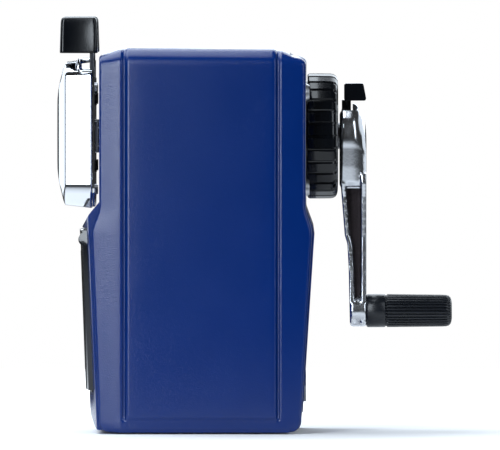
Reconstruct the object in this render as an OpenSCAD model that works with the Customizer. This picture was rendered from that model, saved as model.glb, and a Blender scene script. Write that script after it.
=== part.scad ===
// Hand-cranked desk pencil sharpener with a spring-fed clamping face plate.
// Origin: centre of the base, on the surface it stands on. -Y is the pencil
// side, +Y is the crank side, X runs across the width.

/* [Casing] */
// Width of the casing across X
body_w = 66; // [62:1:70]
// Height of the top of the raised centre band
body_h = 117.8; // [116:0.1:119]
// Thickness of the painted casing wall
wall = 2.2; // [1.6:0.1:2.6]
// Distance of the upper front and rear edges from the middle
half_depth = 31.5; // [31:0.1:32]
// Distance of the lower rear bulge from the middle
rear_bulge = 33.5; // [33:0.1:33.8]
// Distance of the lower front edge from the middle
front_bulge = 33.8; // [33.5:0.1:34]

/* [Drawer] */
// Half width of the drawer tray
drawer_half_w = 25.4; // [24:0.1:25.6]
// Height of the underside of the drawer
drawer_z = 13.2; // [13:0.1:13.4]
// Height of the top of the drawer front
drawer_top = 61.9; // [61:0.1:62]

/* [Cutting head] */
// Height of the pencil and crank axis
axis_z = 90.4; // [90:0.1:91]
// Tilt of the helical cutter, which sets the point's half angle
cutter_tilt = 11; // [10:0.5:11]
// Radius of the helical cutter
cutter_r = 5.5; // [5.2:0.1:5.5]
// Number of blades on the cutter
cutter_blades = 10; // [8:1:12]
// Teeth of the fixed ring gear
ring_teeth = 24; // [24:1:24]
// Teeth of the cutter's pinion
pinion_teeth = 12; // [12:1:12]
// Gear module
gear_m = 0.9; // [0.9:0.1:0.9]

/* [Clamp] */
// Half width of the chrome face plate
plate_half_w = 24; // [23:0.5:25]
// Height of the top of the face plate
plate_top = 113.9; // [113:0.1:114.2]
// Height of the bottom of the face plate
plate_bottom = 68.6; // [68:0.1:69]
// Gap between the closed jaws
jaw_gap = 5.2; // [5:0.1:6]
// Distance of each lever pivot from the middle
pivot_x = 14; // [13.5:0.1:14.5]
// Height of the lever pivots
pivot_z = 105; // [104.5:0.1:105.5]

/* [Crank] */
// Distance from the crank axis to the grip axis
crank_r = 53.5; // [50:0.5:54]
// Radius of the ribbed knob
knob_r = 19.25; // [18.5:0.05:19.5]
// Number of ribs on the knob
knob_ribs = 30; // [24:1:36]
// Length of the grip
grip_len = 26.2; // [24:0.1:28]
// Radius of the grip at the arm
grip_r = 5.1; // [4.8:0.1:5.2]

/* [Hidden] */
$fn = 48;
half_w = body_w / 2;
flank_x = half_w - 1.0;
groove_front_y = -23.6;
groove_rear_y = 22.8;
inner_x = half_w - wall;
base_gap = 0.5;
axle_clear = 0.05;
boss_x = 26.6;
boss_y = 22.4;
panel_y = -half_depth + 0.4;
plate_rear_y = -33.8;
dome_y = -44.7;
lever_y = -35.0;
lever_t = 1.2;
rail_x = 19.2;
rail_t = 1.6;
rail_h = 9.6;
rail_end_y = 10;
lug_x = 16.4;
lug_z = 73.8;
shaft_r = 4;
stop_r = 0.8;
stop_z = axis_z - 2.6;
tube_r = 16.95;
hub_y0 = 41.6;
hub_y1 = 49.6;
grip_z = axis_z - crank_r;
grip_y0 = 49.9;
pinion_y = 14.6;
ring_pitch = ring_teeth * gear_m / 2;
pinion_pitch = pinion_teeth * gear_m / 2;
mesh_z = axis_z + ring_pitch - pinion_pitch;
tooth_add = 0.7;
tooth_ded = 1.1;

paint = [0.02, 0.15, 0.42];
black = [0.08, 0.08, 0.09];
bright = [0.82, 0.84, 0.88];
steel = [0.62, 0.63, 0.65];
brass = [0.78, 0.62, 0.30];
rubber = [0.05, 0.05, 0.05];

// ---- helpers ----

// A cylinder along +Y from y0, centred on x and z
module ycyl(r, y0, len, x = 0, z = axis_z, r2 = -1) {
    translate([x, y0, z])
        rotate([-90, 0, 0])
            cylinder(r1 = r, r2 = r2 < 0 ? r : r2, h = len);
}

// A box given by its low and high corners
module span(lo, hi) {
    translate(lo) cube(hi - lo);
}

// An outline in Y and Z, drawn out along X to a half width
module along_x(half) {
    translate([-half, 0, 0])
        rotate([90, 0, 90])
            linear_extrude(2 * half) children();
}

// An outline in X and Z, drawn out along +Y from y0
module along_y(y0, len) {
    translate([0, y0 + len, 0])
        rotate([90, 0, 0])
            linear_extrude(len) children();
}

// A rectangle with rounded corners, from its low and high corners
module round_rect(lo, hi, r) {
    hull()
        for (x = [lo[0] + r, hi[0] - r], y = [lo[1] + r, hi[1] - r])
            translate([x, y]) circle(r, $fn = 32);
}

// The four corners of a rectangle about the middle
module corners(x, y) {
    for (sx = [-1, 1], sy = [-1, 1])
        translate([sx * x, sy * y, 0]) children();
}

// Moves to the mesh point of the cutter's tilted axis, with +Z along it towards the crank
module on_cutter_axis() {
    translate([0, pinion_y, mesh_z])
        rotate([-90 - cutter_tilt, 0, 0]) children();
}

// A toothed outline: trapezoid teeth on a root circle, thick at the root
module gear_outline(teeth, pitch, add, ded, share) {
    circle(pitch - ded, $fn = 96);
    step = 360 / teeth;
    r0 = pitch - ded - 0.15;
    r1 = pitch + add;
    a0 = step * (share + 0.10) / 2;
    a1 = step * (share - 0.20) / 2;
    for (i = [0:teeth - 1])
        rotate(i * step)
            polygon([
                [r0 * cos(a0), -r0 * sin(a0)], [r1 * cos(a1), -r1 * sin(a1)],
                [r1 * cos(a1), r1 * sin(a1)], [r0 * cos(a0), r0 * sin(a0)]
            ]);
}

// A coil of round wire along +Z: rings of points swept round a helix
module coil(r, wire, turns, len, sides = 8, per = 14) {
    n = turns * per;
    pts = [
        for (i = [0:n]) for (j = [0:sides - 1])
            let (a = 360 * i / per, b = 360 * j / sides, d = r + wire * cos(b))
            [d * cos(a), d * sin(a), len * i / n + wire * sin(b)]
    ];
    skin = [
        for (i = [0:n - 1]) for (j = [0:sides - 1])
            let (k = (j + 1) % sides)
            [i * sides + j, (i + 1) * sides + j, (i + 1) * sides + k, i * sides + k]
    ];
    first = [for (j = [0:sides - 1]) j];
    last = [for (j = [sides - 1:-1:0]) n * sides + j];
    polyhedron(pts, concat(skin, [first, last]));
}

// ---- casing ----

// Side outline of the casing, grown by g
module side_outline(g = 0) {
    offset(delta = g)
        offset(r = 2.5, $fn = 24)
            offset(delta = -2.5)
                polygon([
                    [-31.5, base_gap], [-front_bulge, 61], [-half_depth, 68.5],
                    [-half_depth, 115.2], [-23, 117.4], [22, 117.2], [28.6, 115],
                    [half_depth, 110.5], [half_depth, 68.5], [rear_bulge, 61], [29.7, base_gap]
                ]);
}

// Front outline of the casing, grown by g
module front_outline(g = 0) {
    difference() {
        offset(delta = g) round_rect([-half_w, -20], [half_w, body_h], 6);
        translate([-half_w - 1, -30]) square([body_w + 2, 30]);
    }
}

// Plan outline: a raised band between the grooves, and flanks that lean in
module plan_outline() {
    for (s = [-1, 1])
        scale([s, 1])
            polygon([
                [0, -36], [flank_x - 1.4, -36], [flank_x - 0.6, -33], [flank_x + 0.3, groove_front_y - 0.8],
                [flank_x - 0.2, groove_front_y], [half_w, groove_front_y + 0.9],
                [half_w, groove_rear_y - 0.9], [flank_x - 0.2, groove_rear_y],
                [flank_x + 0.3, groove_rear_y + 0.8], [flank_x - 0.6, 32], [flank_x - 1.4, 36], [0, 36]
            ]);
}

// Block on the side wall that takes a base screw
module boss() {
    span([-4.6, -3, base_gap + 1.8], [4.6, 3, 11.5]);
}

module casing_shell() {
    color(paint) {
        difference() {
            union() {
                intersection() {
                    along_x(half_w) side_outline();
                    along_y(-36, 72) front_outline();
                    linear_extrude(140) plan_outline();
                }
                // raised band over the top
                intersection() {
                    span([-27, groove_front_y, 110], [27, groove_rear_y, body_h]);
                    along_y(-30, 60) front_outline();
                }
            }
            intersection() {
                along_y(-36, 72) front_outline(-wall);
                union() {
                    along_x(inner_x) side_outline(-wall);
                    // the front and rear openings, right through the side outline
                    span([-inner_x, -40, -1], [inner_x, -20, 113]);
                    span([-inner_x, 20, -1], [inner_x, 40, 110]);
                    span([-inner_x, -26, -1], [inner_x, 26, 20]);
                }
            }
        }
        // bosses for the base screws
        difference() {
            corners(boss_x, boss_y)
                boss();
            corners(boss_x, boss_y)
                translate([0, 0, 1]) cylinder(r = 1.25, h = 9);
        }
    }
}

// Painted moulding that closes the front and frames the drawer
module front_frame() {
    slot_x = rail_x + rail_t / 2;
    color(paint)
        difference() {
            intersection() {
                along_x(inner_x - 0.3)
                    offset(r = 1.2, $fn = 24)
                        offset(delta = -1.2)
                            polygon([
                                [-28.5, 1.2], [-32.3, 1.2], [-34.1, 5], [-34.9, 9], [-37.1, 62.5], [-34.6, 66.9],
                                [panel_y, 71], [panel_y, 112], [-28.5, 112]
                            ]);
                along_y(-40, 20) front_outline(-wall - 0.3);
                // the crowned front, leaning back a little at the foot
                translate([0, 0, 62])
                    rotate([2.4, 0, 0])
                        translate([0, 210 - 36.9, -80]) cylinder(r = 210, h = 160, $fn = 360);
            }
            span([-26, -50, drawer_z - 0.7], [26, 0, drawer_top + 0.6]);
            ycyl(6, -40, 20);
            for (s = [-1, 1])
                span(
                    [s * slot_x - rail_t / 2 - 0.25, -40, axis_z - rail_h / 2 - 0.25],
                    [s * slot_x + rail_t / 2 + 0.25, -20, axis_z + rail_h / 2 + 0.25]
                );
        }
}

// Painted rear panel with the big hole for the gear holder
module rear_cover() {
    color(paint)
        difference() {
            intersection() {
                along_x(inner_x - 0.3)
                    offset(r = 1, $fn = 24)
                        offset(delta = -1)
                            polygon([
                                [28.6, 1.2], [29.3, 1.2], [30.4, 4], [34.0, 60], [33.6, 63],
                                [half_depth - 0.1, 69], [half_depth - 0.1, 108.5], [28.6, 108.5],
                                [28.6, 68], [30.6, 60], [28.6, 30]
                            ]);
                along_y(20, 20) front_outline(-wall - 0.3);
            }
            ycyl(tube_r + 0.4, 20, 20);
            ycyl(5.05, 20, 20, 0, 14);
            for (s = [-1, 1]) ycyl(1.7, 20, 20, s * 23, 75);
            for (s = [-1, 1]) ycyl(1.7, 20, 20, s * 23, 104);
        }
}

module base_plate() {
    top = base_gap + 1.8;
    recess = base_gap + 0.8;
    color(black) {
        difference() {
            translate([0, 0, base_gap]) linear_extrude(1.8) round_rect([-30.2, -27.6], [30.2, 26.6], 3);
            linear_extrude(recess) round_rect([-21.2, -22.2], [21.2, 22.2], 3);
            corners(boss_x, boss_y) cylinder(r = 1.6, h = 5);
            corners(boss_x, boss_y) cylinder(r = 2.9, h = recess);
        }
        // runners that carry the drawer
        for (s = [-1, 1])
            span([s * 19 - 1, -27, top - 0.1], [s * 19 + 1, 25, drawer_z - 0.3]);
        // stop at the back of the drawer, either side of the clamp rod
        for (s = [-1, 1])
            span([s * 13 - 4, 25, top - 0.1], [s * 13 + 4, 26.4, 22]);
    }
}

module non_slip_pad() {
    color(rubber)
        linear_extrude(base_gap + 0.78) round_rect([-21, -22], [21, 22], 3);
}

module base_screws() {
    color(steel)
        corners(boss_x, boss_y)
            difference() {
                union() {
                    translate([0, 0, base_gap + 0.05]) cylinder(r = 2.7, h = 0.7);
                    translate([0, 0, base_gap + 0.7]) cylinder(r = 1.22, h = 8);
                }
                span([-2, -0.3, 0], [2, 0.3, base_gap + 0.4]);
            }
}

// Inner frame: front bulkhead, side walls, and the ring that seats the gear holder
module mechanism_frame() {
    ring_y = 14;
    ring_end = 28.3;
    color(black)
        difference() {
            union() {
                span([-27.5, -28.2, 68], [27.5, -25.6, 110]);
                for (s = [-1, 1])
                    span([s * 26.5 - 1, -28.2, 68], [s * 26.5 + 1, ring_end, 109]);
                span([-27.5, ring_y, 69.5], [27.5, ring_end, 109]);
            }
            // seat of the gear holder
            ycyl(tube_r + axle_clear, ring_y - 1, 20);
            // room for the bayonet lugs to turn
            ycyl(18.9, 20, 3.4);
            for (a = [0, 180])
                translate([0, 0, axis_z]) rotate([0, a + 90, 0])
                    span([16, 20, -3.4], [18.9, ring_end + 1, 3.4]);
            // seat of the pencil guide
            ycyl(5.4 + 0.02, -30, 6);
            for (s = [-1, 1]) {
                span(
                    [s * 20 - 1.05, -40, axis_z - rail_h / 2 - 0.25],
                    [s * 20 + 1.05, -20, axis_z + rail_h / 2 + 0.25]
                );
                // pockets for the feed springs beside the seat
                span([s * 23 - 2.5, ring_y - 1, axis_z - 3], [s * 23 + 2.5, ring_end - 2.5, axis_z + 3]);
                for (z = [75, 104]) ycyl(1.2, ring_end - 9, 12, s * 23, z);
            }
        }
}

module frame_screws() {
    color(steel)
        for (s = [-1, 1], z = [75, 104]) {
            difference() {
                ycyl(2.8, half_depth - 0.05, 1.1, s * 23, z, 2.2);
                span([s * 23 - 2, half_depth + 0.6, z - 0.3], [s * 23 + 2, half_depth + 2, z + 0.3]);
            }
            ycyl(1.17, half_depth - 11, 11, s * 23, z);
        }
}

module pencil_guide() {
    color(black)
        difference() {
            union() {
                ycyl(5.4, -31.4, 6.6);
                ycyl(7, -25.6, 0.8);
            }
            ycyl(4.3, -32, 10);
            ycyl(5.1, -31.5, 1.01, 0, axis_z, 4.3);
        }
}

// Metal socket low in the back for the rod of a table clamp
module clamp_socket() {
    color(steel)
        difference() {
            union() {
                ycyl(5, 27.2, 4.3, 0, 14);
                ycyl(6.5, 27.2, 1.2, 0, 14);
            }
            ycyl(4, 26, 8, 0, 14);
        }
}

// Pins in the frame that hold the rear ends of the feed springs
module spring_anchors() {
    color(steel)
        for (s = [-1, 1])
            translate([s * 23, 23.5, axis_z - 3]) cylinder(r = 0.7, h = 6);
}

// ---- drawer ----

module drawer_tray() {
    t = 1.6;
    front_r = 261;
    color(black)
        difference() {
            union() {
                span([-drawer_half_w, -34, drawer_z], [drawer_half_w, 24, 56]);
                // crowned front, leaning back at the foot
                intersection() {
                    span([-drawer_half_w, -40, drawer_z], [drawer_half_w, -31.5, drawer_top]);
                    translate([0, 0, 60])
                        rotate([2.1, 0, 0])
                            translate([0, front_r - 37.7, -60]) cylinder(r = front_r, h = 80, $fn = 360);
                }
                // finger lip along the top
                intersection() {
                    translate([-drawer_half_w, -35.8, 59.2])
                        rotate([0, 90, 0]) cylinder(r = 2.1, h = 2 * drawer_half_w);
                    span([-30, -40, 50], [30, -30, drawer_top]);
                }
            }
            span(
                [-drawer_half_w + t, -31.5, drawer_z + t],
                [drawer_half_w - t, 24 - t, 80]
            );
            // finger notch in the lip
            translate([0, -38.3, 56.4]) rotate([0, 90, 0])
                translate([0, 0, -11]) cylinder(r = 1.3, h = 22);
        }
}

// ---- sliding face plate ----

module plate_outline(g = 0) {
    offset(delta = g)
        round_rect([-plate_half_w, plate_bottom], [plate_half_w, plate_top], 7.5);
}

module face_plate() {
    dome = 100;
    t = 1.3;
    color(bright)
        difference() {
            intersection() {
                along_y(dome_y - 1, plate_rear_y - dome_y + 1) plate_outline();
                translate([0, dome_y + dome, 92]) sphere(dome, $fn = 200);
            }
            intersection() {
                along_y(dome_y, plate_rear_y - dome_y + 1) plate_outline(-t);
                translate([0, dome_y + dome, 92]) sphere(dome - t, $fn = 200);
            }
            ycyl(7, dome_y - 2, 8);
            // notches at the top corners for the levers
            for (s = [-1, 1])
                span([s * 18.5 - 7, -37.4, 107.6], [s * 18.5 + 7, -30, 116]);
        }
}

module carriage_back_plate() {
    color(bright)
        difference() {
            along_y(-33.6, 0.6)
                difference() {
                    plate_outline(-0.4);
                    for (s = [-1, 1])
                        translate([s * 18 - 7, 108]) square([14, 10]);
                }
            ycyl(7, -36, 6);
            for (s = [-1, 1]) ycyl(1.03, -36, 6, s * pivot_x, pivot_z);
            for (s = [-1, 1]) ycyl(0.83, -36, 6, s * lug_x, lug_z);
            for (s = [-1, 1], z = [87.6, 93.2]) ycyl(0.83, -36, 6, s * 20, z);
        }
    // lugs that reach forward to the face plate for its rivets
    color(bright)
        for (s = [-1, 1])
            difference() {
                span([s * lug_x - 2.2, -39.2, 71], [s * lug_x + 2.2, -33.6, 76.6]);
                ycyl(0.83, -41, 9, s * lug_x, lug_z);
            }
}

module back_plate_rivets() {
    color(steel)
        for (s = [-1, 1]) {
            ycyl(0.8, -39, 6.2, s * lug_x, lug_z);
            ycyl(1.5, -32.95, 0.5, s * lug_x, lug_z);
        }
}

// A flat bar that slides through the front, with a bent end that stops it
module guide_rail(s) {
    color(black)
        difference() {
            union() {
                span(
                    [s * 20 - rail_t / 2, -32.95, axis_z - rail_h / 2],
                    [s * 20 + rail_t / 2, rail_end_y, axis_z + rail_h / 2]
                );
                // foot riveted to the back plate
                span(
                    [s * 20 - 2.4, -32.95, axis_z - rail_h / 2],
                    [s * 20 + 2.4, -32.0, axis_z + rail_h / 2]
                );
                // stop tab, which also holds the spring
                span([s * 22.3 - 2.4, rail_end_y - 1.5, axis_z - 3.5], [s * 22.3 + 2.4, rail_end_y, axis_z + 3.5]);
            }
            for (z = [87.6, 93.2]) ycyl(0.83, -36, 6, s * 20, z);
            ycyl(0.9, rail_end_y - 3, 6, s * 23, axis_z);
            // long lightening slot
            span([s * 20 - 2, -20, axis_z - 1.5], [s * 20 + 2, 2, axis_z + 1.5]);
        }
}

module left_guide_rail() { guide_rail(-1); }
module right_guide_rail() { guide_rail(1); }

module rail_rivets() {
    color(steel)
        for (s = [-1, 1], z = [87.6, 93.2]) {
            ycyl(0.8, -33.9, 2.2, s * 20, z);
            ycyl(1.3, -34.2, 0.55, s * 20, z);
        }
}

module bumper_pads() {
    color(rubber)
        for (s = [-1, 1], z = [81.3, 101.7])
            ycyl(1.7, -32.95, 0.6, s * 15, z);
}

module lever_pivot_pins() {
    color(steel)
        for (s = [-1, 1]) {
            ycyl(1, -36, 3.6, s * pivot_x, pivot_z);
            ycyl(1.9, -36.2, 0.8, s * pivot_x, pivot_z);
            ycyl(1.6, -32.95, 0.5, s * pivot_x, pivot_z);
        }
}

module feed_spring(s) {
    color(steel) {
        translate([s * 23, rail_end_y + 0.6, axis_z])
            rotate([-90, 0, 0]) coil(1.5, 0.25, 9, 11.2);
    }
}

module left_feed_spring() { feed_spring(-1); }
module right_feed_spring() { feed_spring(1); }

// ---- squeeze levers ----

// Sheet lever: a stem up to the cap, a round about its pivot and an arm down to the jaw
module lever(s) {
    color(steel)
        difference() {
            union() {
                along_y(lever_y, lever_t)
                    scale([s, 1]) {
                        hull() {
                            translate([pivot_x, pivot_z]) circle(3.4, $fn = 32);
                            translate([16.6, 107.4]) circle(2, $fn = 32);
                        }
                        hull() {
                            translate([pivot_x, pivot_z]) circle(3, $fn = 32);
                            translate([8.6, 96]) circle(2.2, $fn = 32);
                            translate([7.4, 87.6]) circle(1.6, $fn = 32);
                        }
                    }
                span([s * 16.6 - 2.6, lever_y, 106], [s * 16.6 + 2.6, lever_y + lever_t, 110]);
                span([s * 16.6 - 2.6, lever_y + 0.5, 108.6], [s * 16.6 + 2.6, -33.3, 124.5]);
                // stud for the jaw spring
                ycyl(0.6, -37.2, 2.3, s * 9.2, 99.6);
            }
            ycyl(1 + axle_clear, -38, 8, s * pivot_x, pivot_z);
        }
}

module lever_cap(s) {
    x0 = s * 16.6 - 3.6;
    x1 = s * 16.6 + 3.6;
    color(black)
        difference() {
            translate([x0, 0, 0])
                rotate([90, 0, 90])
                    linear_extrude(x1 - x0)
                        offset(r = 1.2, $fn = 24)
                            offset(delta = -1.2)
                                polygon([[-43.7, 115.9], [-43.3, 126.9], [-32.3, 126.9], [-32.0, 115.9]]);
            // slot for the stem
            span([s * 16.6 - 2.65, lever_y + 0.45, 115], [s * 16.6 + 2.65, -33.25, 124.6]);
            // dished pressing face
            translate([s * 16.6 + s * 15.2, -37.9, 119]) cylinder(r = 12, h = 20, center = true, $fn = 96);
        }
}

// Hardened jaw with a toothed V that grips the pencil
module jaw(s) {
    tooth = 1;
    x0 = jaw_gap / 2;
    color(steel)
        along_y(-37.4, 2.38)
            scale([s, 1])
                difference() {
                    polygon([[x0, 85.4], [9, 86], [9, 95], [x0, 95.4]]);
                    polygon([[x0 - 1, 87.2], [x0 + 1.6, axis_z], [x0 - 1, 93.6]]);
                    for (i = [-3:3])
                        translate([x0 - 0.1 + (3.2 - abs(i)) * 0.5, axis_z + i * tooth])
                            rotate(45) square(0.4, center = true);
                }
}

module left_lever() { lever(-1); }
module right_lever() { lever(1); }
module left_lever_cap() { lever_cap(-1); }
module right_lever_cap() { lever_cap(1); }
module left_jaw() { jaw(-1); }
module right_jaw() { jaw(1); }

module jaw_spring() {
    color(steel)
        translate([-8.2, -36.7, 99.6])
            rotate([0, 90, 0]) coil(1.1, 0.2, 12, 16.4);
}

// ---- gear holder ----

// Ribbed knob and the tube behind it that plugs into the frame
module gear_holder() {
    color(black) {
        difference() {
            union() {
                difference() {
                    translate([0, 0, axis_z])
                        rotate([-90, 0, 0])
                            rotate_extrude($fn = 96)
                                polygon(concat(
                                    [[0, 31.9], [knob_r, 31.9], [knob_r, 39.2]],
                                    [for (a = [15:15:75]) [knob_r - 4 + 4 * cos(a), 39.2 + 2.1 * sin(a)]],
                                    [[knob_r - 4, 41.3], [0, 41.3]]
                                ));
                    for (i = [0:knob_ribs - 1])
                        translate([0, 0, axis_z])
                            rotate([0, 360 * i / knob_ribs, 0])
                                translate([knob_r + 0.28, 33.2, 0])
                                    rotate([-90, 45, 0]) cylinder(r = 0.75, h = 9, $fn = 4);
                }
                ycyl(tube_r, 10, 22);
                // bayonet lugs
                intersection() {
                    ycyl(18.7, 20.2, 3);
                    for (a = [0, 180])
                        translate([0, 0, axis_z]) rotate([0, a + 90, 0])
                            span([15, 20, -3.1], [20, 24, 3.1]);
                }
            }
            ycyl(14.4, 9, 20);
            ycyl(6.02, 20, 30);
            // bottom of the knob's groove for chips to fall clear
            ycyl(12, 28, 1.5);
        }
    }
}

module ring_gear() {
    step = 360 / ring_teeth;
    color(brass)
        difference() {
            ycyl(14.35, 12.2, 4.8);
            translate([0, 12, axis_z])
                rotate([-90, 0, 0])
                    rotate(90)
                        linear_extrude(6)
                            difference() {
                                circle(ring_pitch + tooth_ded, $fn = 96);
                                for (i = [0:ring_teeth - 1])
                                    rotate((i + 0.5) * step)
                                        ring_tooth(step);
                            }
        }
}

// One inward tooth of the ring gear
module ring_tooth(step) {
    r0 = ring_pitch + tooth_ded + 0.3;
    r1 = ring_pitch - tooth_add;
    a0 = step * 0.24;
    a1 = step * 0.13;
    polygon([
        [r0 * cos(a0), -r0 * sin(a0)], [r1 * cos(a1), -r1 * sin(a1)],
        [r1 * cos(a1), r1 * sin(a1)], [r0 * cos(a0), r0 * sin(a0)]
    ]);
}

module bearing_bush() {
    color(brass)
        difference() {
            union() {
                ycyl(6, 29, 12.2);
                ycyl(7.6, 28, 1);
            }
            ycyl(shaft_r + axle_clear, 20, 30);
        }
}

// ---- crank ----

// One casting: hollow hub, I-section arm and the boss at its end
module crank_arm() {
    top_w = 4.8;
    foot_w = 4.1;
    color(bright)
        difference() {
            union() {
                // hub, drawn down to the arm
                intersection() {
                    along_y(hub_y0, hub_y1 - hub_y0)
                        hull() {
                            translate([0, axis_z]) circle(10, $fn = 64);
                            translate([-7, 75]) square([14, 4]);
                        }
                    translate([0, 0, axis_z]) rotate([-90, 0, 0])
                        cylinder(r1 = 64, r2 = 14.2, h = hub_y1, $fn = 128);
                }
                // arm, thinner towards its foot
                intersection() {
                    along_x(6)
                        polygon([
                            [42.1, 80], [hub_y1, 80], [hub_y1, grip_z - 5], [46.2, grip_z - 5],
                            [45.2, grip_z + 4], [43.9, 56], [43.1, 62]
                        ]);
                    along_y(40, 12)
                        hull() {
                            translate([-top_w, 76]) square([2 * top_w, 4]);
                            translate([0, grip_z]) circle(5, $fn = 48);
                        }
                }
            }
            // channels down both sides
            for (s = [-1, 1])
                translate([s * (1.4 + foot_w), 0, 0])
                    along_x(foot_w)
                        polygon([
                            [44.6, 73], [48.6, 73], [48.4, grip_z + 6.4],
                            [46.8, grip_z + 6.4], [45.6, 58]
                        ]);
            // room for the adjuster inside the hub
            ycyl(8.6, hub_y0 - 1, 5.1);
            // slot for the adjuster's stem
            intersection() {
                span([-8, hub_y0 - 1, axis_z + 4], [8, hub_y0 + 4.1, axis_z + 14]);
                ycyl(30, hub_y0 - 1, 6);
            }
            ycyl(shaft_r + 0.02, hub_y0 - 1, 6.4);
            ycyl(1.62, hub_y0, 10);
            ycyl(1.62, hub_y1 - 1.9, 2, 0, axis_z, 3.6);
            ycyl(2.02, 40, 12, 0, grip_z);
        }
}

module crank_screw() {
    color(steel)
        difference() {
            union() {
                ycyl(1.45, 44.6, 4.6);
                ycyl(1.45, hub_y1 - 1.9, 1.7, 0, axis_z, 3.2);
            }
            span([-2.6, hub_y1 - 0.8, axis_z - 0.35], [2.6, hub_y1 + 1, axis_z + 0.35]);
        }
}

module drive_shaft() {
    color(steel)
        difference() {
            ycyl(shaft_r, 23, hub_y0 + 5.3 - 23);
            ycyl(stop_r + 0.05, 22, 20.5, 0, stop_z);
            ycyl(1.5, 43.5, 10);
        }
}

// Die-cast carrier: a flange at the front, a body with the pencil cone, a block at the back
module cutter_carrier() {
    slot_r = cutter_r + 0.5;
    color(steel)
        difference() {
            union() {
                ycyl(14.4, -19, 4.5);
                ycyl(9.4, -15, 42);
            }
            // mouth and cone that take the pencil
            translate([0, 0, axis_z])
                rotate([-90, 0, 0])
                    rotate_extrude()
                        polygon([
                            [0, -20], [4.3, -20], [4.3, -9], [1.3, 6.4], [1.3, 12], [0, 12]
                        ]);
            // seat of the shaft, and the point stop's bore and slot
            ycyl(shaft_r + 0.02, 22.9, 5);
            ycyl(stop_r + 0.05, 9.6, 14, 0, stop_z);
            span([-0.95, 9.6, stop_z - 0.3], [0.95, 12.3, axis_z + 0.9]);
            // the cutter's slot, open on its side
            on_cutter_axis() {
                translate([0, 0, -28.2]) cylinder(r = slot_r, h = 26);
                span([0.3 - slot_r, -16, -28.2], [slot_r - 0.3, 0, -2.2]);
            }
            // room for the pinion
            on_cutter_axis() {
                translate([0, 0, -2.6]) cylinder(r = 6.6, h = 4.5);
                span([-6.3, -16, -2.6], [6.3, 0, 1.9]);
            }
            // axle bore
            on_cutter_axis() translate([0, 0, -40]) cylinder(r = 1.52, h = 48);
        }
}

module cutter_axle() {
    color(steel)
        on_cutter_axis() translate([0, 0, -33.2]) cylinder(r = 1.5, h = 40.2);
}

module grip_pin() {
    color(steel) {
        ycyl(2, 45.4, 24.6, 0, grip_z);
        ycyl(2.6, 66, 1.6, 0, grip_z);
    }
}

// ---- cutter ----

// Helical cutter: blades twisted along the axis
module cutter() {
    step = 360 / cutter_blades;
    len = 23.5;
    color(steel)
        on_cutter_axis()
            difference() {
                translate([0, 0, -27.4])
                    linear_extrude(len, twist = 70, slices = 22)
                        polygon([
                            for (i = [0:cutter_blades - 1], k = [0:2])
                                let (a = i * step + k * step * 0.31, r = cutter_r - [0, 0.55, 1.1][k])
                                [r * cos(a), r * sin(a)]
                        ]);
                translate([0, 0, -30]) cylinder(r = 1.5 + axle_clear, h = 30);
            }
}

module cutter_pinion() {
    color(brass)
        on_cutter_axis()
            difference() {
                union() {
                    translate([0, 0, -1.1])
                        linear_extrude(2.4)
                            rotate(-90)
                                gear_outline(pinion_teeth, pinion_pitch, tooth_add, tooth_ded, 0.46);
                    translate([0, 0, -2.4]) cylinder(r = 3, h = 1.4);
                }
                translate([0, 0, -5]) cylinder(r = 1.5 + axle_clear, h = 10);
            }
}

// ---- grip, adjuster and stop ----

// Points round a fluted outline: each rib has two corners outside and two inside
function fluted(ribs, r_out, r_in) = [
    for (i = [0:ribs - 1], k = [0:3])
        let (a = 360 * (i + [0, 0.55, 0.7, 0.85][k]) / ribs, r = k < 2 ? r_out : r_in)
        [r * cos(a), r * sin(a)]
];

module grip() {
    ribs = 30;
    taper = 0.15;
    collar = 6;
    color(black)
        difference() {
            union() {
                ycyl(grip_r, grip_y0, collar, 0, grip_z);
                intersection() {
                    translate([0, grip_y0 + collar - 0.1, grip_z])
                        rotate([-90, 0, 0])
                            linear_extrude(grip_len - collar + 0.1)
                                polygon(fluted(ribs, grip_r - taper, grip_r - taper - 0.25));
                    translate([0, 0, grip_z])
                        rotate([-90, 0, 0])
                            rotate_extrude($fn = 96)
                                polygon([
                                    [0, grip_y0], [grip_r + 1, grip_y0], [grip_r + 1, grip_y0 + grip_len - 2.4],
                                    [grip_r - taper - 0.6, grip_y0 + grip_len - 0.6],
                                    [grip_r - taper - 1.6, grip_y0 + grip_len], [0, grip_y0 + grip_len]
                                ]);
                }
            }
            ycyl(2 + axle_clear, grip_y0 - 1, 22, 0, grip_z);
            ycyl(2.7, 65.8, 2, 0, grip_z);
        }
}

module adjuster_lever() {
    disc_y = 42.3;
    color(black)
        difference() {
            union() {
                ycyl(8.2, disc_y, 2);
                span([-1.5, disc_y + 0.1, axis_z + 6], [1.5, disc_y + 2.9, 101.4]);
                along_x(3.4)
                    offset(r = 0.7, $fn = 24)
                        offset(delta = -0.7)
                            polygon([[43.1, 101.2], [43.1, 106.5], [49, 106.5], [50, 101.2]]);
            }
            ycyl(shaft_r + axle_clear, 40, 8);
        }
}

module point_stop() {
    color(steel) {
        ycyl(stop_r, 10.6, 30.8, 0, stop_z);
        // foot that meets the pencil's point
        span([-0.7, 10.3, stop_z - 0.2], [0.7, 11.6, axis_z + 0.6]);
    }
}

// ---- selection ----

casing_shell();
front_frame();
rear_cover();
base_plate();
non_slip_pad();
base_screws();
mechanism_frame();
frame_screws();
pencil_guide();
clamp_socket();
spring_anchors();
drawer_tray();
face_plate();
carriage_back_plate();
back_plate_rivets();
left_guide_rail();
right_guide_rail();
rail_rivets();
bumper_pads();
lever_pivot_pins();
left_feed_spring();
right_feed_spring();
left_lever();
left_lever_cap();
left_jaw();
right_lever();
right_lever_cap();
right_jaw();
jaw_spring();
gear_holder();
ring_gear();
bearing_bush();
crank_arm();
crank_screw();
drive_shaft();
cutter_carrier();
cutter_axle();
grip_pin();
cutter();
cutter_pinion();
grip();
adjuster_lever();
point_stop();
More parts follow.
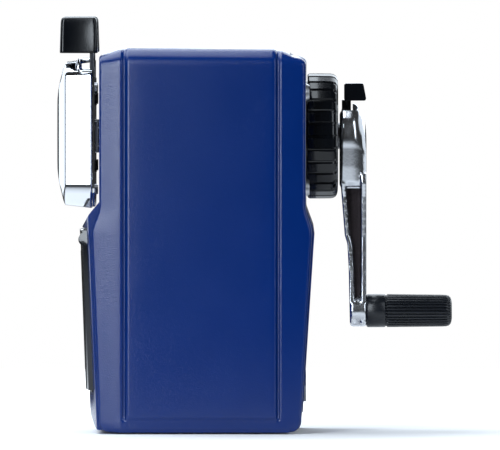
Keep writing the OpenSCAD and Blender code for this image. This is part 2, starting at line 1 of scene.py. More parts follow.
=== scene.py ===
"""Hand-cranked desk pencil sharpener: the visible finish of each piece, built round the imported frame."""

import math

import bmesh
import bpy
import numpy as np
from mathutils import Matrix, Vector


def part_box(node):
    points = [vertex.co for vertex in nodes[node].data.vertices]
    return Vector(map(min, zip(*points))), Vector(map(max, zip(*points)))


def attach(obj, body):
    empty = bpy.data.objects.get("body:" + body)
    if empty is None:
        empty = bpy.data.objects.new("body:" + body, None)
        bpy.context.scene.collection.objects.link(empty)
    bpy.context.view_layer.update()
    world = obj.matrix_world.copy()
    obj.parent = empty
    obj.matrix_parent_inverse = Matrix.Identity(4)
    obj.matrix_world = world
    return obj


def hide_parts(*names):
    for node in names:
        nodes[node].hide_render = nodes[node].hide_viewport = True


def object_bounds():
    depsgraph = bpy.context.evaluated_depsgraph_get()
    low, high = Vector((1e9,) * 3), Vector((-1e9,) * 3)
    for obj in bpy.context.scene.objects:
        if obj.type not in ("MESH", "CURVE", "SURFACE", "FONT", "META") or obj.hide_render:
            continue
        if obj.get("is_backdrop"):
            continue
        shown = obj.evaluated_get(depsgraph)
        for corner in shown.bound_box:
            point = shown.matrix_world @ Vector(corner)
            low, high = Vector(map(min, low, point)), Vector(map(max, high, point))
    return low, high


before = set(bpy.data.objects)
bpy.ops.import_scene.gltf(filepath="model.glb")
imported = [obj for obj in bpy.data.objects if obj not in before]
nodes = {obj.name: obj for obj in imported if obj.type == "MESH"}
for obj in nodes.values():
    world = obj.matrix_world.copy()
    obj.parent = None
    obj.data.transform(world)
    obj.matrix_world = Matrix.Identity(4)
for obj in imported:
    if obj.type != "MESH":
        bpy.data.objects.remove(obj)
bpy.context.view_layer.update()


# ---- Painted casing shell ----
# The real casing is one drawn steel wrap with a raised centre band and a rolled groove each side of it.
# It is baked in dark blue enamel with a fine grain, worn a little lighter along its folds.


def mm(node):
    """A CAD node's low and high corners in millimetres."""
    low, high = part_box(node)
    return np.array(low) * 1000, np.array(high) * 1000


def ease(a, b, x):
    """0 below a, 1 above b, and a smooth step between them."""
    t = np.clip((x - a) / (b - a), 0.0, 1.0)
    return t * t * (3 - 2 * t)


def build(name, points, faces, sharp=32):
    """An object from points in millimetres, smooth except along its folds."""
    mesh = bpy.data.meshes.new(name)
    mesh.from_pydata([Vector(p) / 1000 for p in points], [], faces)
    mesh.validate()
    mesh.shade_smooth()
    mesh.set_sharp_from_angle(angle=math.radians(sharp))
    piece = bpy.data.objects.new(name, mesh)
    bpy.context.scene.collection.objects.link(piece)
    return piece


def loft(name, rings, sharp=32, ends=True, around=False):
    """Skins a row of closed rings that all have the same number of points."""
    count = len(rings[0])
    points = [p for ring in rings for p in ring]
    faces = []
    last = len(rings) if around else len(rings) - 1
    for i in range(last):
        a, b = i * count, (i + 1) % len(rings) * count
        for j in range(count):
            k = (j + 1) % count
            faces.append((a + j, a + k, b + k, b + j))
    if ends and not around:
        faces.append(tuple(range(count))[::-1])
        faces.append(tuple((len(rings) - 1) * count + j for j in range(count)))
    piece = build(name, points, faces, sharp)
    face_outwards(piece)
    return piece


def face_outwards(piece):
    """Turns a closed mesh's faces so that they all look out."""
    work = bmesh.new()
    work.from_mesh(piece.data)
    bmesh.ops.recalc_face_normals(work, faces=work.faces)
    work.to_mesh(piece.data)
    work.free()


shell_low, shell_high = mm("casing_shell")
half_w, shell_top, shell_base = shell_high[0], shell_high[2] - 0.1, shell_low[2]
corner = 6.0


def edge_y(z, bulge, foot, upright):
    """How far the casing's front or rear edge is from the middle at a height."""
    slope = foot + (bulge - foot) * min(z, 61) / 61
    y = slope + (upright - slope) * ease(61, 69.5, z)
    curl = min(3.2, max(0.0, 3.2 - (z - shell_base)))
    return y - (3.2 - math.sqrt(3.2**2 - curl**2))


def shell_ring(z, top):
    """The wall's closed outline at a station: (y, depth below the nominal surface)."""
    front = -edge_y(z, -shell_low[1], 31.4, 31.5)
    rear = edge_y(z, shell_high[1], 29.9, 31.5)
    band = ease(4.0, 5.2, z)
    low = 0.5
    dip = low + 0.75 * band * (1 - top)
    rise = low * (1 - band)
    lip = 0.7 + 0.3 * top
    lean = 1.5 + 0.8 * top
    turn = 1.2 + 2.9 * top
    fall = 0.95 + 1.5 * top
    ring = []
    for t in np.linspace(0, 90, 6):
        t = math.radians(t)
        ring.append((front + lip - lip * math.cos(t), lean + lip - lip * math.sin(t)))
    run = -25.3 - (front + lip)
    ring += [(front + lip + run * f, lean + (low - lean) * f) for f in (0.12, 0.5, 0.88)]
    ring += [(-25.15, low + 0.02), (-24.8, low), (-24.5, low + 0.12 * band), (-24.3, dip - 0.1 * band), (-24.1, dip)]
    ring += [(-23.75, dip), (-23.55, dip - 0.12 * band), (-23.3, rise + 0.4 * band), (-23.0, rise + 0.13 * band)]
    ring += [(-22.65, rise + 0.02), (-22.2, rise)]
    ring += [(y, rise) for y in np.linspace(-17, 17, 7)]
    ring += [(21.0, rise), (21.8, rise + 0.02), (22.2, rise + 0.13 * band), (22.5, rise + 0.4 * band)]
    ring += [(22.7, dip - 0.12 * band), (22.85, dip), (23.2, dip), (23.4, dip - 0.1 * band), (23.6, low + 0.12 * band)]
    ring += [(23.9, low), (24.3, low + 0.03), (26.5, (fall + low) / 2 - 0.1), (rear - turn - 0.7, fall - 0.12)]
    for t in np.linspace(90, 0, 7):
        t = math.radians(t)
        ring.append((rear - turn + turn * math.cos(t), fall + turn - turn * math.sin(t)))
    deep_front, deep_rear = lean + lip + 0.25, fall + turn + 0.4
    ring += [(rear - 0.2, deep_rear), (20, deep_rear), (19, 2.2)]
    ring += [(-19, 2.2), (-20, deep_front), (front + 0.2, deep_front)]
    return [(y, d + top * 0.5 * max(0.0, (y + 22) / 50)) for y, d in ring]


stations = [(half_w, z, 1.0, 0.0, 0.0) for z in (0.5, 0.8, 1.3, 2.0, 2.9, 3.7, 4.2, 4.6, 5.0, 5.6)]
stations += [(half_w, z, 1.0, 0.0, 0.0) for z in np.linspace(9, 58, 12)]
stations += [(half_w, z, 1.0, 0.0, 0.0) for z in np.linspace(60, 71, 12)]
stations += [(half_w, z, 1.0, 0.0, 0.0) for z in np.linspace(76, 109, 6)]
for a in np.radians(np.linspace(0, 90, 13)):
    turned = math.sin(a)
    stations.append(
        (half_w - corner + corner * math.cos(a), shell_top - corner + corner * turned, math.cos(a), turned, turned**2)
    )
stations += [(x, shell_top, 0.0, 1.0, 1.0) for x in np.linspace(half_w - corner, 0, 8)[1:]]
stations += [(-x, z, -nx, nz, top) for x, z, nx, nz, top in stations[-2::-1]]
rings = []
for x, z, nx, nz, top in stations:
    tuck = 0.35 * (1 - ease(shell_base, 1.4, z))
    rings.append([(x - nx * (d + tuck), y, z - nz * d) for y, d in shell_ring(z, top)])
casing = loft("casing", rings, sharp=40)


def group(name, inputs, outputs):
    """An empty shader node group with named sockets, and a helper that adds and links its nodes."""
    tree = bpy.data.node_groups.new(name, "ShaderNodeTree")
    for label, kind, value in inputs:
        socket = tree.interface.new_socket(label, in_out="INPUT", socket_type=kind)
        socket.default_value = value
    for label, kind in outputs:
        tree.interface.new_socket(label, in_out="OUTPUT", socket_type=kind)
    return tree, tree.nodes.new("NodeGroupInput"), tree.nodes.new("NodeGroupOutput")


def add(tree, kind, links=None, **settings):
    """Adds a node, sets its settings or sockets by name, and links its inputs."""
    node = tree.nodes.new("ShaderNode" + kind)
    for key, value in settings.items():
        setattr(node, key, value)
    for key, value in (links or {}).items():
        socket = node.inputs[key]
        if isinstance(value, bpy.types.NodeSocket):
            tree.links.new(value, socket)
        else:
            socket.default_value = value
    return node


FLOAT = "NodeSocketFloat"

# Fine grain: the orange peel of paint, the skin of a moulding or the skin of a casting.
grain, grain_in, grain_out = group(
    "surface_grain",
    [("Fine scale", FLOAT, 1500.0), ("Broad scale", FLOAT, 90.0), ("Stretch", FLOAT, 1.0)],
    [("Height", FLOAT), ("Broad", FLOAT)],
)
where = add(grain, "TexCoord")
squeeze = add(grain, "CombineXYZ", {"X": 1.0, "Y": 1.0, "Z": grain_in.outputs["Stretch"]})
stretched = add(grain, "VectorMath", {0: where.outputs["Object"], 1: squeeze.outputs[0]}, operation="MULTIPLY")
fine = add(grain, "TexNoise", {"Vector": stretched.outputs[0], "Scale": grain_in.outputs["Fine scale"], "Detail": 3.0})
broad_scale = grain_in.outputs["Broad scale"]
broad = add(grain, "TexNoise", {"Vector": stretched.outputs[0], "Scale": broad_scale, "Detail": 2.0})
grain.links.new(fine.outputs["Fac"], grain_out.inputs["Height"])
grain.links.new(broad.outputs["Fac"], grain_out.inputs["Broad"])

# Edge wear: a mask that is 1 where a fold is sharp, broken up by noise.
wear, wear_in, wear_out = group(
    "edge_wear", [("Radius", FLOAT, 0.0006), ("Amount", FLOAT, 1.0)], [("Mask", FLOAT)]
)
rounded = add(wear, "Bevel", {"Radius": wear_in.outputs["Radius"]}, samples=4)
flat = add(wear, "NewGeometry")
likeness = add(wear, "VectorMath", {0: rounded.outputs[0], 1: flat.outputs["Normal"]}, operation="DOT_PRODUCT")
bent = add(wear, "MapRange", {0: likeness.outputs["Value"], 1: 0.995, 2: 0.93, 3: 0.0, 4: 1.0})
chips = add(wear, "TexNoise", {"Scale": 700.0, "Detail": 4.0})
broken = add(wear, "MapRange", {0: chips.outputs["Fac"], 1: 0.35, 2: 0.7, 3: 0.15, 4: 1.0})
both = add(wear, "Math", {0: bent.outputs[0], 1: broken.outputs[0]}, operation="MULTIPLY")
scaled = add(wear, "Math", {0: both.outputs[0], 1: wear_in.outputs["Amount"]}, operation="MULTIPLY", use_clamp=True)
wear.links.new(scaled.outputs[0], wear_out.inputs["Mask"])


def finish_of(
    name, colour, worn, rough=(0.3, 0.4), metal=0.0, coat=0.0, coat_rough=0.1, fine=1500.0, broad=90.0,
    stretch=1.0, relief=0.1, spread=0.15, wear_amount=0.5, wear_radius=0.0005, specular=0.5,
):
    """A finish: a base colour that varies broadly, worn folds, and fine relief."""
    material = bpy.data.materials.new(name)
    material.use_nodes = True
    tree = material.node_tree
    shader = tree.nodes["Principled BSDF"]
    shader.inputs["Metallic"].default_value = metal
    shader.inputs["Coat Weight"].default_value = coat
    shader.inputs["Coat Roughness"].default_value = coat_rough
    shader.inputs["Specular IOR Level"].default_value = specular
    skin = tree.nodes.new("ShaderNodeGroup")
    skin.node_tree = grain
    skin.inputs["Fine scale"].default_value = fine
    skin.inputs["Broad scale"].default_value = broad
    skin.inputs["Stretch"].default_value = stretch
    rub = tree.nodes.new("ShaderNodeGroup")
    rub.node_tree = wear
    rub.inputs["Radius"].default_value = wear_radius
    rub.inputs["Amount"].default_value = wear_amount
    dark = tuple(c * (1 - spread) for c in colour) + (1.0,)
    light = tuple(min(1.0, c * (1 + spread)) for c in colour) + (1.0,)
    tone = add(tree, "Mix", {0: skin.outputs["Broad"], 6: dark, 7: light}, data_type="RGBA")
    top = add(tree, "Mix", {0: rub.outputs["Mask"], 6: tone.outputs[2], 7: tuple(worn) + (1.0,)}, data_type="RGBA")
    tree.links.new(top.outputs[2], shader.inputs["Base Color"])
    gloss = add(tree, "MapRange", {0: skin.outputs["Broad"], 1: 0.3, 2: 0.7, 3: rough[0], 4: rough[1]})
    tree.links.new(gloss.outputs[0], shader.inputs["Roughness"])
    bump = add(tree, "Bump", {"Height": skin.outputs["Height"], "Strength": relief, "Distance": 0.0002})
    tree.links.new(bump.outputs[0], shader.inputs["Normal"])
    return material


def dress(piece, material):
    """Gives a piece one material in place of whatever it had."""
    piece.data.materials.clear()
    piece.data.materials.append(material)


def settle(piece, body, slot, *replaced):
    """The frame calls that every made piece needs."""
    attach(piece, body)
    if replaced:
        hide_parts(*replaced)


blue_paint = finish_of(
    "blue_enamel", (0.0004, 0.0225, 0.158), (0.04, 0.10, 0.30), rough=(0.14, 0.17),
    fine=3200.0, broad=60.0, relief=0.25, spread=0.06, wear_amount=0.25,
)
dress(casing, blue_paint)
settle(casing, "root", "blue_paint", "casing_shell")


def softened(node, name, width, material, body, slot, segments=2, angle=30):
    """A CAD node remade with its flat faces cleaned up and its edges rolled over."""
    piece = bpy.data.objects.new(name, nodes[node].data.copy())
    bpy.context.scene.collection.objects.link(piece)
    work = bmesh.new()
    work.from_mesh(piece.data)
    bmesh.ops.remove_doubles(work, verts=work.verts, dist=1e-6)
    bmesh.ops.dissolve_limit(work, angle_limit=math.radians(1.0), verts=work.verts, edges=work.edges)
    work.to_mesh(piece.data)
    work.free()
    roll = piece.modifiers.new("roll", "BEVEL")
    roll.width = width / 1000
    roll.segments = segments
    roll.limit_method = "ANGLE"
    roll.angle_limit = math.radians(angle)
    roll.use_clamp_overlap = True
    piece.data.shade_smooth()
    piece.data.set_sharp_from_angle(angle=math.radians(60))
    dress(piece, material)
    settle(piece, body, slot, node)
    return piece


# ---- Front frame and rear panel ----
# Two zinc castings in the same blue enamel close the wrap at the front and the back.
softened("front_frame", "front_casting", 0.5, blue_paint, "root", "blue_paint")
softened("rear_cover", "rear_casting", 0.4, blue_paint, "root", "blue_paint")

# ---- Drawer ----
# A moulding in smoke-black styrene with a crowned front and a rolled finger lip.
smoke = finish_of(
    "smoke_styrene", (0.008, 0.009, 0.013), (0.03, 0.03, 0.035), rough=(0.10, 0.15), coat=0.2, coat_rough=0.05,
    fine=1800.0, relief=0.03, wear_amount=0.2,
)
softened("drawer_tray", "drawer", 0.3, smoke, "drawer", "smoke_plastic")

# ---- Black mouldings ----
satin_black = finish_of(
    "satin_black_moulding", (0.006, 0.0065, 0.009), (0.05, 0.05, 0.055), rough=(0.4, 0.5), fine=2600.0, relief=0.2,
)
gloss_black = finish_of(
    "gloss_black_moulding", (0.0015, 0.0025, 0.0045), (0.02, 0.022, 0.026), rough=(0.15, 0.2), fine=1500.0, relief=0.05,
    wear_amount=0.3,
)
grip_black = finish_of(
    "grip_black_moulding", (0.006, 0.008, 0.012), (0.03, 0.032, 0.036), rough=(0.25, 0.32), fine=1500.0, relief=0.05,
    wear_amount=0.3,
)
rubber = finish_of(
    "black_rubber", (0.02, 0.02, 0.021), (0.05, 0.05, 0.05), rough=(0.7, 0.85), fine=1800.0, relief=0.35,
)
for node in ("base_plate", "mechanism_frame", "pencil_guide"):
    dress(nodes[node], satin_black)
for node in ("non_slip_pad", "bumper_pads"):
    dress(nodes[node], rubber)

# ---- Lever caps ----
# Moulded finger pieces pressed onto the two squeeze levers.
# Each has a shallow dish in its outer face for the fingertip and a rounded top.


def cap_ring(low, high, side, inset, dish):
    """One level outline of a cap: rounded corners, and a hollow on the side that is pressed."""
    cx, cy = (low[0] + high[0]) / 2, (low[1] + high[1]) / 2
    hx, hy = (high[0] - low[0]) / 2 - inset, (high[1] - low[1]) / 2 - inset
    r = max(0.35, 1.1 - inset * 0.4)
    ring = []
    for qx, qy, start in ((1, -1, 270), (1, 1, 0), (-1, 1, 90), (-1, -1, 180)):
        for t in np.radians(start + np.linspace(0, 90, 7)):
            ring.append([qx * (hx - r) + r * math.cos(t), qy * (hy - r) + r * math.sin(t)])
        if qx == 1 and qy == -1:
            ring += [[hx, v * (hy - r)] for v in np.linspace(-0.9, 0.9, 15)]
        if qx == 1 and qy == 1:
            ring += [[v * (hx - r), hy] for v in (0.5, 0.0, -0.5)]
        if qx == -1 and qy == 1:
            ring += [[-hx, v * (hy - r)] for v in (0.7, 0.25, -0.25, -0.7)]
        if qx == -1 and qy == -1:
            ring += [[v * (hx - r), -hy] for v in (-0.5, 0.0, 0.5)]
    out = []
    for x, y in ring:
        if x > hx - r:
            x -= dish * (1 - min(1.0, abs(y) / (hy - 0.6)) ** 2)
        out.append((cx + side * x, cy + y))
    return out


for side, name in ((-1, "left"), (1, "right")):
    low, high = mm(f"{name}_lever_cap")
    rings = []
    tall = high[2] - low[2]
    for f, inset, dish in (
        (0.0, 0.3, 0.0), (0.008, 0.1, 0.05), (0.03, 0.0, 0.1), (0.08, 0.0, 0.2), (0.3, 0.08, 0.3), (0.5, 0.15, 0.32),
        (0.7, 0.22, 0.3), (0.84, 0.28, 0.24), (0.9, 0.34, 0.15), (0.95, 0.5, 0.08), (0.98, 0.75, 0.03),
        (0.995, 1.1, 0.0), (1.0, 1.6, 0.0),
    ):
        rings.append([(x, y, low[2] + f * tall) for x, y in cap_ring(low, high, side, inset, dish)])
    cap = loft(f"{name}_cap", rings, sharp=50)
    dress(cap, gloss_black)
    settle(cap, f"{name}_lever", "gloss_black", f"{name}_lever_cap")

# ---- Ribbed knob and gear holder ----
# One moulding: a drum with broad flats parted by fine grooves, on a tube that carries the ring gear.
low, high = mm("gear_holder")
axis_z = (low[2] + high[2]) / 2
knob_r = (high[2] - low[2]) / 2
knob_back, knob_front, tube_front = high[1], high[1] - 9.4, low[1]
ribs, per_rib = 30, 10


def drum_ring(y, r, ribbed):
    """A ring of the knob: flats with a narrow groove at each joint, or plain where it isn't ribbed."""
    ring = []
    for i in range(ribs * per_rib):
        a = 2 * math.pi * (i + 0.5) / (ribs * per_rib)
        off = (i % per_rib + 0.5) / per_rib - 0.5
        flat = math.cos(math.pi / ribs) / math.cos(2 * math.pi * off / ribs)
        groove = 0.55 * ease(0.36, 0.47, abs(off))
        here = r * (1 + ribbed * (flat - 1)) - ribbed * groove
        ring.append((here * math.cos(a), y, axis_z + here * math.sin(a)))
    return ring


profile = [(tube_front, 14.45, 0), (tube_front, 16.6, 0), (tube_front + 0.4, 16.95, 0), (knob_front, 16.95, 0)]
profile += [(knob_front, knob_r - 0.7, 0), (knob_front + 0.2, knob_r - 0.25, 0.5), (knob_front + 0.7, knob_r, 1)]
profile += [(knob_back - 6, knob_r, 1), (knob_back - 2.4, knob_r - 0.05, 1), (knob_back - 1.5, knob_r - 0.2, 1)]
profile += [(knob_back - 0.8, knob_r - 0.65, 0.9), (knob_back - 0.35, knob_r - 1.4, 0.5)]
profile += [(knob_back - 0.12, knob_r - 2.6, 0)]
profile += [(knob_back, knob_r - 6, 0), (knob_back, 6.4, 0), (knob_back - 0.3, 6.05, 0), (knob_back - 8, 6.05, 0)]
profile += [(knob_back - 8, 9, 0), (knob_back - 12, 14.45, 0)]
knob = loft("ribbed_knob", [drum_ring(*row) for row in profile], sharp=38, around=True)
dress(knob, gloss_black)
settle(knob, "gear_holder", "gloss_black", "gear_holder")

# ---- Crank grip ----
# A free-turning moulded handle: a smooth collar, a row of dimples, then fine ribs to a domed end.
low, high = mm("grip")
grip_z, grip_top_r = (low[2] + high[2]) / 2, (high[2] - low[2]) / 2
fine_ribs, per_fine = 32, 8


def grip_ring(y, r, depth):
    """A ring of the grip, with ribs of a given depth."""
    ring = []
    for i in range(fine_ribs * per_fine):
        a = 2 * math.pi * (i + 0.5) / (fine_ribs * per_fine)
        off = abs((i % per_fine + 0.5) / per_fine - 0.5)
        here = r - depth * ease(0.18, 0.42, off)
        ring.append((here * math.cos(a), y, grip_z + here * math.sin(a)))
    return ring


start, end = low[1], high[1]
r = grip_top_r
profile = [(start, 2.2, 0), (start, r - 0.6, 0), (start + 0.15, r - 0.2, 0), (start + 0.5, r, 0)]
profile += [(start + 5.6, r - 0.03, 0), (start + 5.75, r - 0.12, 0), (start + 5.9, r - 0.35, 0.1)]
profile += [(start + 6.3, r - 0.35, 0.4), (start + 6.45, r - 0.06, 0.4), (start + 6.7, r - 0.04, 0.45)]
profile += [(start + 14, r - 0.12, 0.45), (end - 3, r - 0.22, 0.45), (end - 1.8, r - 0.28, 0.42)]
profile += [(end - 1.0, r - 0.5, 0.3), (end - 0.45, r - 1.0, 0.15), (end - 0.15, r - 1.7, 0), (end - 0.02, r - 2.6, 0)]
profile += [(end, 2.4, 0), (end - 0.5, 2.2, 0), (end - 4, 2.2, 0), (end - 4, 0.6, 0), (start, 0.6, 0)]
grip = loft("crank_grip", [grip_ring(*row) for row in profile], sharp=45, around=True)
dress(grip, grip_black)
settle(grip, "grip", "grip_black", "grip")

# ---- Point adjuster ----
# A small black lever on the crank's hub: a cap with a slanted side on a stem, moulded in one.
softened("adjuster_lever", "point_adjuster", 0.3, gloss_black, "adjuster", "gloss_black")

# ---- Chrome pieces ----
chrome = finish_of(
    "bright_chrome", (0.80, 0.82, 0.86), (0.9, 0.9, 0.92), rough=(0.04, 0.08), metal=1.0, fine=900.0, broad=40.0,
    relief=0.01, spread=0.03, wear_amount=0.2,
)
low, high = mm("face_plate")
plate_w, plate_bottom, plate_top = high[0], low[2], high[2]
plate_rear, plate_front = high[1], low[1]


def plate_ring(inset, y):
    """The plate's outline, drawn in by an inset, at a depth."""
    r = max(0.6, 7.5 - inset)
    hx, top, bottom = plate_w - inset, plate_top - inset, plate_bottom + inset
    ring = []
    for qx, qz, start in ((1, 1, 0), (-1, 1, 90), (-1, -1, 180), (1, -1, 270)):
        cx, cz = qx * (hx - r), (top - r if qz > 0 else bottom + r)
        ring += [(cx + r * math.cos(t), y, cz + r * math.sin(t)) for t in np.radians(start + np.linspace(0, 90, 13))]
        if start in (0, 180):
            ring += [(cx * f, y, top if qz > 0 else bottom) for f in (0.6, 0.2, -0.2, -0.6)]
        else:
            span = (top - r) - (bottom + r)
            steps = (0.8, 0.5, 0.2) if start == 90 else (0.2, 0.5, 0.8)
            ring += [(qx * hx, y, bottom + r + span * f) for f in steps]
    return ring


def toward_hole(ring, r, y, share):
    """Moves a ring of points part of the way to the circle of the pencil hole."""
    out = []
    for x, _, z in ring:
        a = math.atan2(z - axis_z, x)
        out.append((x + (r * math.cos(a) - x) * share, y, z + (axis_z + r * math.sin(a) - z) * share))
    return out


crown = [(0.12, 0.0), (0.0, 0.3), (0.03, 0.6), (0.07, 0.9), (0.9, 7.9), (0.93, 8.1), (1.05, 8.3), (1.35, 8.5)]
crown += [(1.75, 8.68), (2.6, 8.98), (4.4, 9.4), (6.9, 10.0), (9.3, 10.5), (11.9, 10.8)]
squash = (plate_rear - plate_front) / 10.9
crown = [(inset, up * squash) for inset, up in crown]
rings = [plate_ring(inset, plate_rear - up) for inset, up in crown]
inner = plate_ring(12.5, 0)
for share, up in ((0.3, 10.87), (0.7, 10.9), (1.0, 10.88)):
    rings.append(toward_hole(inner, 7.9, plate_rear - up * squash, share))
for r, up in ((7.45, 10.75), (7.15, 10.45), (7.0, 10.0), (7.0, 8.8), (7.9, 8.8), (8.1, 9.7)):
    rings.append(toward_hole(inner, r, plate_rear - up, 1.0))
rings += [plate_ring(inset + 0.9, plate_rear - up + 1.0) for inset, up in crown[:7:-1]]
rings += [plate_ring(1.75, plate_rear - 7.2), plate_ring(0.95, plate_rear - 1.0), plate_ring(0.9, plate_rear)]
face_plate = loft("chrome_face_plate", rings, sharp=60, around=True)


def cut(piece, cutter):
    """Takes one closed mesh out of another."""
    work = piece.modifiers.new("cut", "BOOLEAN")
    work.operation = "DIFFERENCE"
    work.object = cutter
    work.solver = "EXACT"
    bpy.context.view_layer.objects.active = piece
    with bpy.context.temp_override(object=piece, active_object=piece):
        bpy.ops.object.modifier_apply(modifier=work.name)
    mesh = cutter.data
    bpy.data.objects.remove(cutter)
    bpy.data.meshes.remove(mesh)


def slab(outline, x0, x1):
    """A prism along X from an outline of (y, z)."""
    return loft("slab", [[(x, y, z) for y, z in outline] for x in (x0, x1)])


def rounded_box(y0, y1, z0, z1, r):
    """A rounded outline of (y, z)."""
    ring = []
    for cy, cz, start in ((y1 - r, z1 - r, 0), (y0 + r, z1 - r, 90), (y0 + r, z0 + r, 180), (y1 - r, z0 + r, 270)):
        ring += [(cy + r * math.cos(t), cz + r * math.sin(t)) for t in np.radians(start + np.linspace(0, 90, 9))]
    return ring


notch_front, notch_foot = plate_rear - 4.2, plate_top - 3.5
for s in (-1, 1):
    cut(face_plate, slab(rounded_box(notch_front, -28, notch_foot, 125, 1.4), s * 11.5, s * 27))
dress(face_plate, chrome)
settle(face_plate, "carriage", "chrome", "face_plate")


def bead(name, path, r, sides=10):
    """A round bead swept along a row of points."""
    path = [np.array(q, float) for q in path]
    rings = []
    for i, q in enumerate(path):
        ahead = path[min(i + 1, len(path) - 1)] - path[max(i - 1, 0)]
        ahead /= np.linalg.norm(ahead)
        across = np.cross(ahead, (0.31, 0.2, 0.93))
        across /= np.linalg.norm(across)
        up = np.cross(ahead, across)
        turn = np.linspace(0, 2 * math.pi, sides + 1)[:-1]
        rings.append([q + r * (math.cos(t) * across + math.sin(t) * up) for t in turn])
    return loft(name, rings, sharp=60)


# The notch's edge is rolled into a bead.
arc_z, arc_x = plate_top - 7.5, plate_w - 7.5
first = math.asin((notch_foot - arc_z) / 7.5)
around = [(arc_x + 7.4 * math.cos(a), arc_z + 7.4 * math.sin(a)) for a in np.linspace(first, math.pi / 2, 9)]
around.append((11.6, plate_top - 0.1))
for s, name in ((-1, "left"), (1, "right")):
    down = (plate_rear, notch_front + 2.4, notch_front + 1.2, notch_front + 0.5)
    path = [(s * around[0][0], y, around[0][1]) for y in down]
    path += [(s * x, notch_front + 0.1, z) for x, z in around[1:]]
    path += [(s * around[-1][0], y, around[-1][1]) for y in (notch_front + 1.2, plate_rear)]
    rim = bead(f"{name}_notch_rim", path, 0.42)
    dress(rim, chrome)
    settle(rim, "carriage", "chrome")
dress(nodes["carriage_back_plate"], chrome)

# ---- Crank ----
# One zinc casting, chromed: a pillowed hub, an arm with a raised flange down each edge, and a round foot.
# The web between the flanges is left rough from the mould.
low, high = mm("crank_arm")
foot_z = low[2] + 5.0
arm_top = 76.0


def arm_front(z):
    """Where the arm's front flange stands at a height."""
    return np.interp(z, (32, 50, 57.5, 60, 70, 76), (44.9, 44.5, 44.1, 43.3, 42.5, 42.0))


def arm_half(z):
    """Half the arm's width at a height."""
    return np.interp(z, (32, 45, 60, 72, 76), (4.1, 4.3, 5.0, 6.4, 7.4))


def bar(y0, y1, half, heights):
    """A bar along the arm, from rectangular sections at each height."""
    rings = []
    for z in heights:
        a, b, w = y0(z), y1(z), half(z)
        rings.append([(w, a, z), (w, b, z), (-w, b, z), (-w, a, z)])
    return loft("bar", rings)


def disc(y_radii, z, sides=40):
    """A turned solid along Y."""
    turn = np.linspace(0, 2 * math.pi, sides + 1)[:-1]
    return loft("disc", [[(r * math.cos(t), y, z + r * math.sin(t)) for t in turn] for y, r in y_radii])


def joined(name, pieces, voxel, passes):
    """Melts overlapping solids into one skin and softens its corners."""
    work = bmesh.new()
    for piece in pieces:
        work.from_mesh(piece.data)
        mesh = piece.data
        bpy.data.objects.remove(piece)
        bpy.data.meshes.remove(mesh)
    mesh = bpy.data.meshes.new(name)
    work.to_mesh(mesh)
    work.free()
    whole = bpy.data.objects.new(name, mesh)
    bpy.context.scene.collection.objects.link(whole)
    melt = whole.modifiers.new("melt", "REMESH")
    melt.mode = "VOXEL"
    melt.voxel_size = voxel / 1000
    soft = whole.modifiers.new("soft", "SMOOTH")
    soft.factor = 0.5
    soft.iterations = passes
    bpy.context.view_layer.update()
    skin = bpy.data.meshes.new_from_object(whole.evaluated_get(bpy.context.evaluated_depsgraph_get()))
    whole.modifiers.clear()
    whole.data = skin
    skin.shade_smooth()
    return whole


heights = (33.0, 38.0, 45.0, 50.0, 54.0, 57.5, 60.0, 66.0, 72.0, arm_top, 79.0)
pieces = [
    bar(lambda z: arm_front(z) + 0.4, lambda z: 49.0, lambda z: 1.9, heights),
    bar(arm_front, lambda z: arm_front(z) + 1.5, arm_half, heights),
    bar(lambda z: 48.3, lambda z: 49.95, arm_half, heights),
    disc([(45.0, 4.5), (45.4, 4.9), (49.4, 4.9), (49.9, 4.6)], foot_z),
]
hub_foot, hub_top = 75.0, high[2]
rings = []
for y, top_in, side_in, foot_in in (
    (41.7, 1.3, 1.0, 0.4), (42.0, 0.5, 0.4, 0.1), (42.6, 0.0, 0.0, 0.0), (45.6, 0.0, 0.0, 0.0), (46.6, 0.25, 0.2, 0.0),
    (47.6, 1.0, 0.8, 0.0), (48.7, 3.0, 1.8, 0.0), (49.4, 5.2, 3.0, 0.1), (49.8, 8.0, 4.2, 0.5), (49.95, 11.0, 5.0, 1.2),
):
    ring = []
    squash = (hub_top - top_in - hub_foot - foot_in) / (hub_top - hub_foot)
    for t in np.radians(np.linspace(-20, 200, 33)):
        ring.append((10 * math.cos(t), y, 90.4 + 10 * math.sin(t)))
    ring += [(x, y, z) for x, z in ((-8.4, 81), (-7.4, 76.5), (-6.4, hub_foot), (0, hub_foot))]
    ring += [(x, y, z) for x, z in ((6.4, hub_foot), (7.4, 76.5), (8.4, 81))]
    rings.append([(x * (1 - side_in / 10), y, hub_foot + foot_in + (z - hub_foot) * squash) for x, y, z in ring])
pieces.append(loft("hub", rings))
crank = joined("crank_casting", pieces, 0.28, 9)
pocket = disc([(41.0, 8.75), (45.75, 8.75)], 90.4, 48)
cut(crank, pocket)
stem_slot = loft(
    "stem_slot", [[(x, y, z) for x, z in ((-5.2, 94.4), (5.2, 94.4), (7.4, 103), (-7.4, 103))] for y in (41.0, 45.75)]
)
cut(crank, stem_slot)
cut(crank, disc([(40.0, 4.05), (46.9, 4.05)], 90.4, 32))
cut(crank, disc([(44.9, 2.1), (46.0, 2.1)], foot_z, 6))
cast_chrome = finish_of(
    "chromed_casting", (0.74, 0.76, 0.80), (0.85, 0.86, 0.88), rough=(0.12, 0.24), metal=1.0, fine=1400.0, broad=150.0,
    relief=0.08, spread=0.05, wear_amount=0.3,
)
web_finish = finish_of(
    "rough_cast_web", (0.03, 0.024, 0.026), (0.2, 0.2, 0.2), rough=(0.35, 0.6), metal=0.9, fine=1500.0, broad=300.0,
    relief=0.9, spread=0.35, wear_amount=0.3,
)
dress(crank, cast_chrome)
crank.data.materials.append(web_finish)
web_top = 74.2
